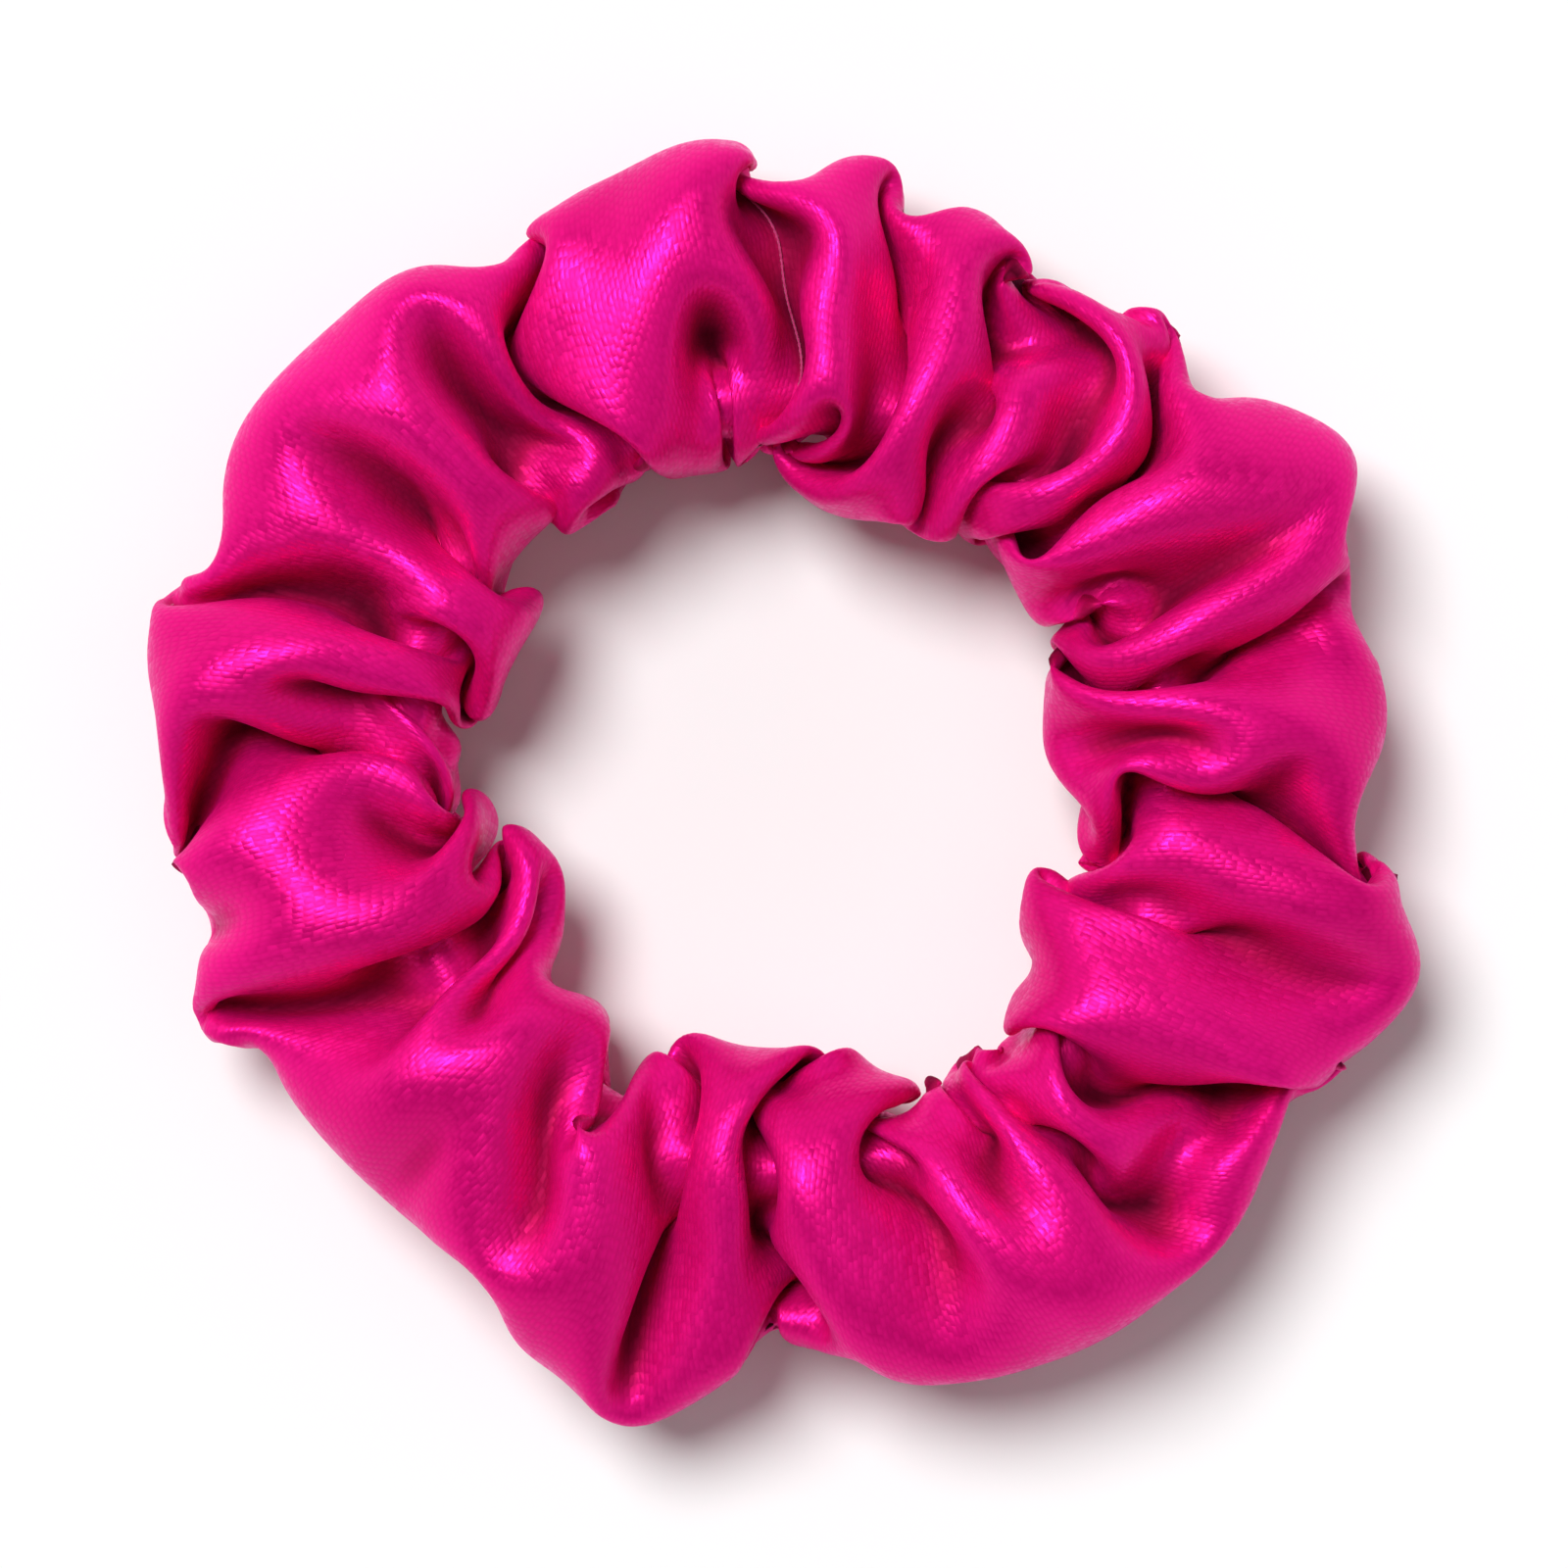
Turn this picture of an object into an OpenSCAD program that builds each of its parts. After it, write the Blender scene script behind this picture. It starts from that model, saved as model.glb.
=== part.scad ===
// Gathered satin scrunchie, lying flat. Millimetres, +Z up.
// The origin is the centre of the ring, on the surface that it rests on.
// The closing seam is at the back (+Y). The ring is cut into two halves at Y = 0,
// where it stretches: the half in front (-Y) is pulled away from the half behind.

/* [Ring] */
// Outside radius of the gathered ring
ring_outer_r = 56; // [50:1:70]
// Radius of the centre opening with the elastic relaxed
opening_r = 26; // [20:1:28]
// Height of the cloth tube as it lies
tube_h = 24; // [22:1:30]

/* [Cloth] */
// Wall of the gathered satin, one to three layers deep
cloth_wall = 0.9; // [0.8:0.1:1.2]
// Thickness of the two raw edges that stand inside along the long seam
allowance_t = 0.8; // [0.4:0.1:1.2]
// Width of those raw edges
allowance_w = 6; // [4:1:8]
// Direction of the closing seam, from +X
closing_deg = 92; // [60:1:120]

/* [Elastic] */
// Radius of the middle of the relaxed elastic band
elastic_r = 34; // [33:1:38]
// Width of the band
elastic_w = 6; // [5:1:8]
// Thickness of the band
elastic_t = 1; // [0.8:0.1:1.4]
// Number of rubber cords inside the band
cord_count = 8; // [4:1:8]
// Side of one square-cut rubber cord
cord_side = 0.42; // [0.3:0.02:0.5]
// Arc over which the two ends of the band lie on each other
lap_deg = 18; // [12:1:24]

/* [Thread] */
// Radius of the sewing thread
thread_r = 0.12; // [0.1:0.01:0.15]
// Length of one stitch
stitch_l = 2.5; // [2:0.1:3.5]

/* [Hidden] */

satin = [0.80, 0.02, 0.36];
magenta_thread = [0.78, 0.05, 0.40];
white_braid = [0.93, 0.93, 0.91];
white_thread = [0.97, 0.97, 0.95];
rubber = [0.86, 0.80, 0.66];

mid_z = tube_h / 2;
inner_corner_r = 8;
outer_corner_r = 11;
inner_corner_c = opening_r + inner_corner_r;
outer_corner_c = ring_outer_r - outer_corner_r;
corner_steps = 8;

// The closing seam lies in a shallow groove, so that its stitches stay out of the floor.
groove_depth = 0.5;
groove_deg = 2.6;
thread_gap = 0.02;

// The second end of the band climbs over the first one along this arc.
ramp_deg = 8;
lap_lift = elastic_t + 0.08;
lap_start_deg = closing_deg - lap_deg / 2;
lap_end_deg = closing_deg + lap_deg / 2;
cord_pitch = elastic_w / cord_count;

thread_sides = 6;
points_per_stitch = 6;
points_per_leg = 3;
zigzag_legs = 14;
zigzag_w = 4.6;
long_seam_in = 1;

// ---------------------------------------------------------------- cross-section

function corner(x, z, r, from_deg) =
    [for (i = [0 : corner_steps])
        let (a = from_deg + 90 * i / corner_steps)
        [x + r * cos(a), z + r * sin(a)]];

// Outline of the tube, at its true radius from the ring's axis, moved inwards by inset.
function outline(inset) =
    let (ri = inner_corner_r - inset, ro = outer_corner_r - inset)
    concat(
        corner(outer_corner_c, outer_corner_r, ro, 270),
        corner(outer_corner_c, tube_h - outer_corner_r, ro, 0),
        corner(inner_corner_c, tube_h - inner_corner_r, ri, 90),
        corner(inner_corner_c, inner_corner_r, ri, 180)
    );

// What lies between two such outlines.
module shell_section(from_inset, to_inset) {
    difference() {
        polygon(outline(from_inset));
        polygon(outline(to_inset));
    }
}

// The long seam's raw edges stand inwards from the outer wall.
module allowance_section() {
    free_edge = ring_outer_r - cloth_wall - allowance_w;
    translate([free_edge, mid_z - allowance_t / 2])
        square([allowance_w + cloth_wall / 2, allowance_t]);
}

module arc(from_deg, to_deg) {
    rotate([0, 0, from_deg])
        rotate_extrude(angle = to_deg - from_deg, $fn = 144)
            children();
}

// ---------------------------------------------------------------- cover

module cover_arc(from_deg, to_deg) {
    arc(from_deg, to_deg) {
        shell_section(0, cloth_wall);
        allowance_section();
    }
}

module cover_held_half() {
    color(satin)
        difference() {
            cover_arc(0, 180);
            arc(closing_deg, closing_deg + groove_deg)
                shell_section(-groove_depth, groove_depth);
        }
}

module cover_pulled_half() {
    color(satin) cover_arc(180, 360);
}

// ---------------------------------------------------------------- threads

function unit(v) = v / norm(v);

// A thread of round section along a path; ref is a direction across it at each point.
module thread_along(path, ref) {
    last = len(path) - 1;
    points = [
        for (i = [0 : last])
            let (
                along = unit(path[min(i + 1, last)] - path[max(i - 1, 0)]),
                across = unit(ref[i] - (ref[i] * along) * along),
                third = cross(along, across)
            )
            for (k = [0 : thread_sides - 1])
                let (a = 360 * k / thread_sides)
                path[i] + thread_r * (cos(a) * across + sin(a) * third)
    ];
    sides = [
        for (i = [0 : last - 1], k = [0 : thread_sides - 1])
            let (
                a = i * thread_sides,
                b = a + thread_sides,
                n = (k + 1) % thread_sides
            )
            [a + k, b + k, b + n, a + n]
    ];
    start_cap = [for (k = [0 : thread_sides - 1]) k];
    end_cap = [for (k = [thread_sides - 1 : -1 : 0]) last * thread_sides + k];
    polyhedron(points, concat(sides, [start_cap, end_cap]));
}

// Lengths of the walk over the top of the tube, from the outer wall to the inner one.
outer_bend_l = PI / 2 * (outer_corner_r - groove_depth);
flat_l = outer_corner_c - inner_corner_c;
inner_bend_l = PI / 2 * (inner_corner_r - groove_depth);
walk_l = outer_bend_l + flat_l + inner_bend_l;

// [radius, height, outward radius, outward height] at a distance s along that walk.
function over_the_top(s) =
    let (
        ro = outer_corner_r - groove_depth,
        ri = inner_corner_r - groove_depth,
        a = 90 * s / outer_bend_l,
        b = 90 + 90 * (s - outer_bend_l - flat_l) / inner_bend_l
    )
    s < outer_bend_l ?
        [outer_corner_c + ro * cos(a), tube_h - outer_corner_r + ro * sin(a), cos(a), sin(a)] :
    s < outer_bend_l + flat_l ?
        [outer_corner_c - (s - outer_bend_l), tube_h - groove_depth, 0, 1] :
        [inner_corner_c + ri * cos(b), tube_h - inner_corner_r + ri * sin(b), cos(b), sin(b)];

// One side of the closing seam's lockstitch: it rises and falls once for each stitch.
module closing_stitches(underside) {
    margin = 1.5;
    stitches = floor((walk_l - 2 * margin) / stitch_l);
    count = stitches * points_per_stitch;
    lowest = thread_r + thread_gap;
    path = [
        for (i = [0 : count])
            let (
                w = over_the_top(margin + stitches * stitch_l * i / count),
                lift = lowest + 0.08 * (1 - cos(360 * i / points_per_stitch)),
                z = w[1] + lift * w[3]
            )
            [w[0] + lift * w[2], 0, underside ? tube_h - z : z]
    ];
    rotate([0, 0, closing_deg + groove_deg / 2])
        thread_along(path, [for (p = path) [0, 1, 0]]);
}

// One side of the long seam's lockstitch, on a face of the raw edges.
module long_seam_arc(from_deg, to_deg, side) {
    r = ring_outer_r - groove_depth - cloth_wall - long_seam_in;
    lift = allowance_t / 2 + thread_r + thread_gap;
    arc(from_deg, to_deg)
        translate([r, mid_z + side * lift])
            circle(r = thread_r, $fn = 24);
}

// A zigzag over the lapped ends of the elastic, on a cylinder of radius r.
module join_zigzag(r) {
    count = zigzag_legs * points_per_leg;
    margin_deg = 2;
    from_deg = lap_start_deg + margin_deg;
    sweep_deg = lap_deg - 2 * margin_deg;
    turns = [
        for (i = [0 : count])
            let (
                legs = i / points_per_leg,
                share = abs(legs - 2 * round(legs / 2))
            )
            [from_deg + sweep_deg * i / count, mid_z + zigzag_w * (share - 0.5)]
    ];
    path = [for (t = turns) [r * cos(t[0]), r * sin(t[0]), t[1]]];
    thread_along(path, [for (t = turns) [cos(t[0]), sin(t[0]), 0]]);
}

// ---------------------------------------------------------------- elastic

cord_heights = [
    for (i = [0 : cord_count - 1])
        mid_z - elastic_w / 2 + cord_pitch * (i + 0.5)
];

module cord_sections() {
    for (z = cord_heights)
        translate([elastic_r - cord_side / 2, z - cord_side / 2])
            square(cord_side);
}

module braid_section() {
    difference() {
        translate([elastic_r - elastic_t / 2, mid_z - elastic_w / 2])
            square([elastic_t, elastic_w]);
        cord_sections();
    }
}

// Directions from one to another in equal steps, without the last one.
function steps(from_deg, to_deg, count) =
    [for (i = [0 : count - 1]) from_deg + (to_deg - from_deg) * i / count];

ramp_end_deg = lap_end_deg + ramp_deg;
first_end_degs = concat(steps(0, lap_end_deg, 16), [lap_end_deg]);
second_end_degs = concat(
    steps(lap_start_deg, lap_end_deg, 3),
    steps(lap_end_deg, ramp_end_deg, 4),
    steps(ramp_end_deg, 180, 12),
    [180]
);

// How far the second end has climbed at a direction.
function climb(deg) =
    deg <= lap_end_deg ? lap_lift :
    deg >= ramp_end_deg ? 0 :
    lap_lift * (1 + cos(180 * (deg - lap_end_deg) / ramp_deg)) / 2;

first_end = [for (d = first_end_degs) [elastic_r, d]];
second_end = [for (d = second_end_degs) [elastic_r + climb(d), d]];

// A band t thick and h high, centred on height z, along a list of [radius, direction].
module band(centre, t, h, z) {
    last = len(centre) - 1;
    outer = [for (c = centre) (c[0] + t / 2) * [cos(c[1]), sin(c[1])]];
    inner = [for (c = centre) (c[0] - t / 2) * [cos(c[1]), sin(c[1])]];
    translate([0, 0, z - h / 2])
        linear_extrude(height = h)
            polygon(concat(outer, [for (i = [last : -1 : 0]) inner[i]]));
}

module cords_along(centre) {
    for (z = cord_heights)
        band(centre, cord_side, cord_side, z);
}

module elastic_braid_held_half() {
    color(white_braid)
        for (centre = [first_end, second_end])
            difference() {
                band(centre, elastic_t, elastic_w, mid_z);
                cords_along(centre);
            }
}

module rubber_cords_held_half() {
    color(rubber) {
        cords_along(first_end);
        cords_along(second_end);
    }
}

module elastic_join_needle_thread() {
    color(white_thread)
        join_zigzag(elastic_r + lap_lift + elastic_t / 2 + thread_r + thread_gap);
}

module elastic_join_bobbin_thread() {
    color(white_thread)
        join_zigzag(elastic_r - elastic_t / 2 - thread_r - 2 * thread_gap);
}

// ---------------------------------------------------------------- nodes

cover_held_half();
cover_pulled_half();
color(magenta_thread) long_seam_arc(0, 180, 1);  // long_seam_needle_thread_held_half
color(magenta_thread) long_seam_arc(180, 360, 1);  // long_seam_needle_thread_pulled_half
color(magenta_thread) long_seam_arc(0, 180, -1);  // long_seam_bobbin_thread_held_half
color(magenta_thread) long_seam_arc(180, 360, -1);  // long_seam_bobbin_thread_pulled_half
color(magenta_thread) closing_stitches(false);  // closing_seam_needle_thread
color(magenta_thread) closing_stitches(true);  // closing_seam_bobbin_thread
elastic_braid_held_half();
color(white_braid) arc(180, 360) braid_section();  // elastic_braid_pulled_half
rubber_cords_held_half();
color(rubber) arc(180, 360) cord_sections();  // rubber_cords_pulled_half
elastic_join_needle_thread();
elastic_join_bobbin_thread();
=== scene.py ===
import math

import bpy
import numpy as np
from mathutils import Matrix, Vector


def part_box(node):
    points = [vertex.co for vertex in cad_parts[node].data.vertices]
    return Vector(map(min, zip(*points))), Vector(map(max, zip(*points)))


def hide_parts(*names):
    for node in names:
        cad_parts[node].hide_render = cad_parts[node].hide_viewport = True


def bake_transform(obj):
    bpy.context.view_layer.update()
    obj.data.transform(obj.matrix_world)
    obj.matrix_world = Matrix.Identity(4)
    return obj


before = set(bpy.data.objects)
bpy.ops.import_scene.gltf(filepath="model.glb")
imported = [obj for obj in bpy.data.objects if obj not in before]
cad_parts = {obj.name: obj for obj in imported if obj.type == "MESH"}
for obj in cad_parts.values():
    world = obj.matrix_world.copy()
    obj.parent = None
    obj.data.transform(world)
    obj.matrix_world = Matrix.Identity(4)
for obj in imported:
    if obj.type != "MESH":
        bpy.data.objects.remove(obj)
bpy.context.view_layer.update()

# A gathered satin scrunchie. Lengths are in millimetres until a mesh is made, and angles in degrees
# from +X, seen from above.
MM = 0.001


def node_box(name):
    """A CAD node's lowest and highest corners, in millimetres."""
    low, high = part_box(name)
    return np.array(low) / MM, np.array(high) / MM


# ---------------------------------------------------------------- sizes

cover_low, cover_high = node_box("cover_pulled_half")
braid_low, braid_high = node_box("elastic_braid_pulled_half")
MID_Z = (cover_low[2] + cover_high[2]) / 2
BRAID_W = braid_high[2] - braid_low[2]
BRAID_T = 1.0
BRAID_R = braid_high[0] - BRAID_T / 2
CORDS = 8
CORD_SIDE = 0.42
LAP_DEG = 18
RAMP_DEG = 8
CLOSING_DEG = 92
THREAD_R = 0.12
STITCH = 2.5
STITCH_BOW = 0.14
YARN_REPEAT = 1.5

# The cloth: a strip 90 mm wide, seamed into a tube 78 mm round, and gathered.
CLOTH_LENGTH = 455
CLOTH_ROUND = 78
ALLOWANCE = 6
CLOTH_THICKNESS = 0.25

# The ring as it lies, in whole degrees and millimetres, chosen to follow the picture. First
# its puffs and the notches between them, as (direction, radius), round the outside and the opening.
OUTSIDE = [
    (8, 54), (16, 51), (23, 53), (31, 58), (38, 55), (43, 49), (50, 52), (57, 50), (64, 49), (71, 54),
    (77, 50), (82, 56), (90, 52), (97, 57), (108, 55), (119, 51), (126, 56), (148, 57), (158, 53),
    (166, 57), (179, 54), (193, 52), (202, 55), (208, 51), (238, 50), (247, 55), (257, 58), (263, 54),
    (268, 47), (276, 50), (282, 54), (300, 56), (314, 55), (329, 52), (335, 56), (344, 59), (350, 54),
    (355, 49),
]
OPENING = [
    (13, 21), (26, 28), (40, 26), (50, 29), (80, 24), (93, 31), (106, 29), (117, 33), (124, 30),
    (130, 31), (152, 26), (175, 30), (205, 20), (214, 24), (225, 25), (237, 29), (256, 23),
    (284, 25), (293, 30), (310, 31), (334, 20), (351, 28),
]
# The creases between the puffs: direction at the outside and at the opening, how deep at each, and
# how far the puff beside it leans over.
CREASES = [
    (4, 4, 0.3, 0.3, 0), (15, 20, 1, 1, 0.6), (28, 28, 0.2, 0.8, 0), (43, 49, 1, 1, 0.8),
    (57, 55, 0.7, 1, 0.5), (64, 65, 0.9, 0.6, -0.4), (77, 79, 1, 1, 0.5),
    (90, 94, 1, 0.8, 0.3), (99, 98, 0, 0.8, 0), (119, 116, 1, 1, -0.7), (128, 127, 0.1, 0.9, 0),
    (143, 145, 0, 0.9, 0), (158, 161, 1, 1, 0.7), (170, 172, 0, 0.8, 0), (179, 180, 1, 1, 0.7),
    (187, 187, 0, 0.8, 0), (208, 200, 1, 1, -0.8), (214, 208, 0, 0.8, 0), (240, 236, 0.3, 0.3, 0.2),
    (258, 252, 0.8, 1, -0.4), (268, 271, 1, 1, 0.7), (286, 286, 0.2, 0.9, 0),
    (302, 299, 0, 0.4, 0), (313, 306, 0.7, 0.6, -0.4), (329, 315, 1, 1, 0.6),
    (342, 340, 0.2, 0.9, 0), (355, 354, 1, 1, -0.7),
]
# The pockets where the cloth is pinched down on to the elastic, as (direction, radius).
PINCHES = [
    (28, 30), (55, 28), (60, 46), (78, 42), (98, 36), (126, 37), (145, 38), (156, 40), (174, 35),
    (186, 29), (207, 28), (251, 31), (258, 42), (269, 46), (286, 32), (317, 47), (339, 31), (342, 35),
]


def wrapped(deg):
    """The same direction, from -180 to 180."""
    return (deg + 180) % 360 - 180


def outline_radius(points, deg):
    """Radius of a closed outline at each direction, eased from point to point."""
    angle, radius = np.array(points, float).T
    angle = np.concatenate([angle - 360, angle, angle + 360])
    radius = np.tile(radius, 3)
    deg = deg % 360
    k = np.searchsorted(angle, deg, side="right") - 1
    share = (deg - angle[k]) / (angle[k + 1] - angle[k])
    ease = (1 - np.cos(np.pi * share)) / 2
    return radius[k] * (1 - ease) + radius[k + 1] * ease


# ---------------------------------------------------------------- cloth simulation
# The tube is a closed grid of points: axis 0 runs along the tube and round the ring, axis 1 runs
# round the tube, from the long seam at the outside, over the top, to the opening and back below.

# The starting shape: how high a puff stands, and how wide, deep and slanted a crease is.
PUFF_HEIGHT = 11.0
CREASE_DEG = 2.4
CREASE_DEPTH = 0.6
LEAN_DEG = 4.0
# How deep the creases and the pinches are drawn while the cloth settles.
PINNED_DEPTH = 0.78
PINCH_MM = 1.8
PINCH_HEIGHT = 3.5
# Shares of the way that each step draws the cloth to where it is held, and the push that leans it.
CREASE_PULL = 0.10
PINCH_PULL = 0.10
TURN_BACK = 0.1
EDGE_PULL = 0.15
KEEP_INSIDE = 0.5
LEAN_PUSH = 0.03
# How the cloth resists bending and shear, and how far it sinks in each step.
BEND_STIFFNESS = 0.08
SHEAR_STIFFNESS = 0.1
SINK = 0.002
# Layers keep this share of the grid's spacing apart. Pairs are looked for every few steps.
LAYER_GAP = 0.92
PAIR_REACH = 1.6
PAIR_STEPS = 6
# Steps to settle and steps to let the cloth out, on the coarse grid and on the doubled one.
COARSE_STEPS, COARSE_LET_OUT = ((450, 300))
FINE_STEPS, FINE_LET_OUT = ((80, 30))


def creases_by_middle():
    """The creases' columns, in order of the direction of their middle, which comes first."""
    table = np.array(CREASES, float)
    middle = (table[:, 0] + table[:, 1]) / 2
    return np.column_stack([middle, table])[np.argsort(middle)].T


def start_shape(deg, phi):
    """The tube before its cloth is let out: smooth puffs between shallow creases."""
    middle, outer, inner, deep_outside, deep_inside, lean = creases_by_middle()
    outwards = (1 + np.cos(phi)) / 2
    strength = deep_inside + (deep_outside - deep_inside) * outwards[..., None]
    away = wrapped(deg[..., None] - middle)
    groove = np.minimum((np.exp(-((away / CREASE_DEG) ** 2)) * strength).sum(-1), 1)
    tilt = (np.exp(-((away / CREASE_DEG / 1.3) ** 2)) * strength * lean).sum(-1)
    slant = np.interp(
        deg % 360,
        np.concatenate([middle - 360, middle, middle + 360]),
        np.tile(outer - inner, 3),
    )
    turned = deg + (outwards - 0.5) * slant - tilt * LEAN_DEG * np.abs(np.sin(phi))
    far = outline_radius(OUTSIDE, deg + slant / 2)
    near = outline_radius(OPENING, deg - slant / 2)
    r = (far + near) / 2 + (far - near) / 2 * np.cos(phi) * (1 - 0.12 * groove)
    z = MID_Z + PUFF_HEIGHT * (1 - CREASE_DEPTH * groove) * np.sin(phi)
    a = np.radians(turned)
    return np.stack([r * np.cos(a), r * np.sin(a), z], -1)


def start_grid(columns, rows):
    """The starting grid, its columns evenly spaced over the creases, and their directions."""
    fine = np.arange(7200) * 0.05
    steps = 0
    for latitude in (40, 90, 130):
        line = start_shape(fine, np.full(7200, np.radians(latitude)))
        steps = steps + np.linalg.norm(np.roll(line, -1, 0) - line, axis=-1) / 3
    along = np.concatenate([[0], np.cumsum(steps)])
    deg = np.interp(np.arange(columns) * along[-1] / columns, along, np.append(fine, 360))
    phi = np.arange(rows) * 2 * np.pi / rows
    deg_grid, phi_grid = np.meshgrid(deg, phi, indexing="ij")
    x = start_shape(deg_grid, phi_grid)
    random = np.random.default_rng(3)
    ripple = np.zeros_like(deg_grid)
    for _ in range(20):
        waves, turns = random.integers(10, 70), random.integers(0, 4)
        phase = random.uniform(0, 2 * np.pi)
        ripple += 0.06 * np.cos(np.radians(deg_grid) * waves + turns * phi_grid + phase)
    a = np.radians(deg_grid)
    x[..., 0] += ripple * np.cos(phi_grid) * np.cos(a)
    x[..., 1] += ripple * np.cos(phi_grid) * np.sin(a)
    x[..., 2] += ripple * np.sin(phi_grid)
    return x, deg


def hold_lengths(x, rest, axis, give=1.0):
    """Moves neighbours along an axis to their rest distance, every other pair at a time."""
    for shift in (0, 1):
        y = np.roll(x, -shift, axis).swapaxes(0, axis)
        wanted = np.roll(rest, -shift, axis).swapaxes(0, axis)[0::2]
        apart = y[1::2] - y[0::2]
        length = np.sqrt((apart * apart).sum(-1)) + 1e-9
        move = (length - wanted) / length / 2
        move = np.where(length < wanted, move * give, move)[..., None] * apart
        y[0::2] += move
        y[1::2] -= move
        x = np.roll(y.swapaxes(0, axis), shift, axis)
    return x


def resist_shear(x, diagonal, stiffness):
    """Moves diagonal neighbours towards the distance that square cells give them."""
    for sideways in (1, -1):
        other = np.roll(x, (-1, sideways), (0, 1))
        apart = other - x
        length = np.sqrt((apart * apart).sum(-1, keepdims=True)) + 1e-9
        move = apart * (length - diagonal) / length * (stiffness / 4)
        x = x + move - np.roll(move, (1, -sideways), (0, 1))
    return x


def resist_bending(x, axis, stiffness):
    """Moves each point and its two neighbours along an axis towards a straight line."""
    off = (np.roll(x, 1, axis) + np.roll(x, -1, axis)) / 2 - x
    return x + stiffness * (off - (np.roll(off, 1, axis) + np.roll(off, -1, axis)) / 2)


def area_normals(x):
    """A vector out of the tube at each point, as long as four of its cells' area."""
    return np.cross(np.roll(x, -1, 0) - np.roll(x, 1, 0), np.roll(x, -1, 1) - np.roll(x, 1, 1))


NEIGHBOUR_CELLS = [
    (0, 0, 0), (1, 0, 0), (0, 1, 0), (0, 0, 1), (1, 1, 0), (1, -1, 0), (1, 0, 1),
    (1, 0, -1), (0, 1, 1), (0, 1, -1), (1, 1, 1), (1, 1, -1), (1, -1, 1), (1, -1, -1),
]


def close_pairs(x, reach):
    """Pairs of points within reach of each other that are not near in the grid."""
    columns, rows = x.shape[:2]
    p = x.reshape(-1, 3)
    cell = np.floor(p / reach).astype(np.int64)
    cell -= cell.min(0) - 1
    size = cell.max(0) + 2
    key = (cell[:, 0] * size[1] + cell[:, 1]) * size[2] + cell[:, 2]
    order = np.argsort(key, kind="stable")
    key = key[order]
    index = np.arange(len(p))
    firsts, seconds = [], []
    for dx, dy, dz in NEIGHBOUR_CELLS:
        target = key + (dx * size[1] + dy) * size[2] + dz
        low = np.searchsorted(key, target, "left")
        if (dx, dy, dz) == (0, 0, 0):
            low = index + 1
        count = np.maximum(np.searchsorted(key, target, "right") - low, 0)
        within = np.arange(count.sum()) - np.repeat(np.cumsum(count) - count, count)
        firsts.append(order[np.repeat(index, count)])
        seconds.append(order[within + np.repeat(low, count)])
    first, second = np.concatenate(firsts), np.concatenate(seconds)
    column_gap = np.abs(first // rows - second // rows)
    row_gap = np.abs(first % rows - second % rows)
    column_gap = np.minimum(column_gap, columns - column_gap)
    row_gap = np.minimum(row_gap, rows - row_gap)
    apart = p[first] - p[second]
    keep = (np.maximum(column_gap, row_gap) > 2) & ((apart * apart).sum(1) < reach * reach)
    return first[keep], second[keep]


def push_apart(x, pairs, gap):
    """Moves the points of each pair to at least a gap apart."""
    p = x.reshape(-1, 3)
    first, second = pairs
    apart = p[first] - p[second]
    length = np.sqrt((apart * apart).sum(1)) + 1e-9
    hit = length < gap
    first, second, apart, length = first[hit], second[hit], apart[hit], length[hit]
    move = apart * ((gap - length) / length / 2)[:, None]
    touches = np.bincount(first, minlength=len(p)) + np.bincount(second, minlength=len(p))
    total = np.stack(
        [
            np.bincount(first, move[:, k], len(p)) - np.bincount(second, move[:, k], len(p))
            for k in range(3)
        ],
        1,
    )
    share = np.minimum(touches, 2) / np.maximum(touches, 1)
    return (p + total * share[:, None]).reshape(x.shape)


def clear_elastic(x, core=3.2):
    """Keeps the cloth off the band inside it."""
    r = np.hypot(x[..., 0], x[..., 1])
    out, up = r - BRAID_R, x[..., 2] - MID_Z
    away = np.sqrt(out**2 + (0.8 * up) ** 2) + 1e-9
    push = np.maximum(core - away, 0) / away
    x[..., :2] *= (1 + push * out / r)[..., None]
    x[..., 2] += push * up
    return x


def keep_outline(x, deg):
    """Turns each column back to its direction, and draws the tube's two edges to the outline."""
    centre = x.mean(1)
    off = wrapped(deg - np.degrees(np.arctan2(centre[:, 1], centre[:, 0])))
    turn = np.radians(TURN_BACK * off)[:, None]
    right, up = x[..., 0].copy(), x[..., 1].copy()
    x[..., 0] = right * np.cos(turn) - up * np.sin(turn)
    x[..., 1] = right * np.sin(turn) + up * np.cos(turn)
    half = x.shape[1] // 2
    for row in (-2, -1, 0, 1, 2):
        for at, points in ((row, OUTSIDE), (half + row, OPENING)):
            edge = x[:, at]
            r = np.hypot(edge[:, 0], edge[:, 1])
            wanted = outline_radius(points, np.degrees(np.arctan2(edge[:, 1], edge[:, 0])))
            pull = EDGE_PULL * (wanted / r - 1)
            if points is OPENING:
                pull = np.maximum(pull, 0) / 2
            edge[:, :2] *= (1 + pull)[:, None]
    r = np.hypot(x[..., 0], x[..., 1])
    furthest = outline_radius(OUTSIDE, np.degrees(np.arctan2(x[..., 1], x[..., 0])))
    x[..., :2] *= (1 - KEEP_INSIDE * np.maximum(1 - furthest / r, 0))[..., None]
    return x


def keep_pinches(x):
    """Draws the upper cloth down where it is pinched."""
    top = x[:, 1:x.shape[1] // 2]
    for deg, r in PINCHES:
        a = math.radians(deg)
        away = np.hypot(top[..., 0] - r * math.cos(a), top[..., 1] - r * math.sin(a))
        above = np.maximum(top[..., 2] - MID_Z - PINCH_HEIGHT, 0)
        top[..., 2] -= PINCH_PULL * np.exp(-((away / PINCH_MM) ** 2)) * above
    return x


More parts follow.
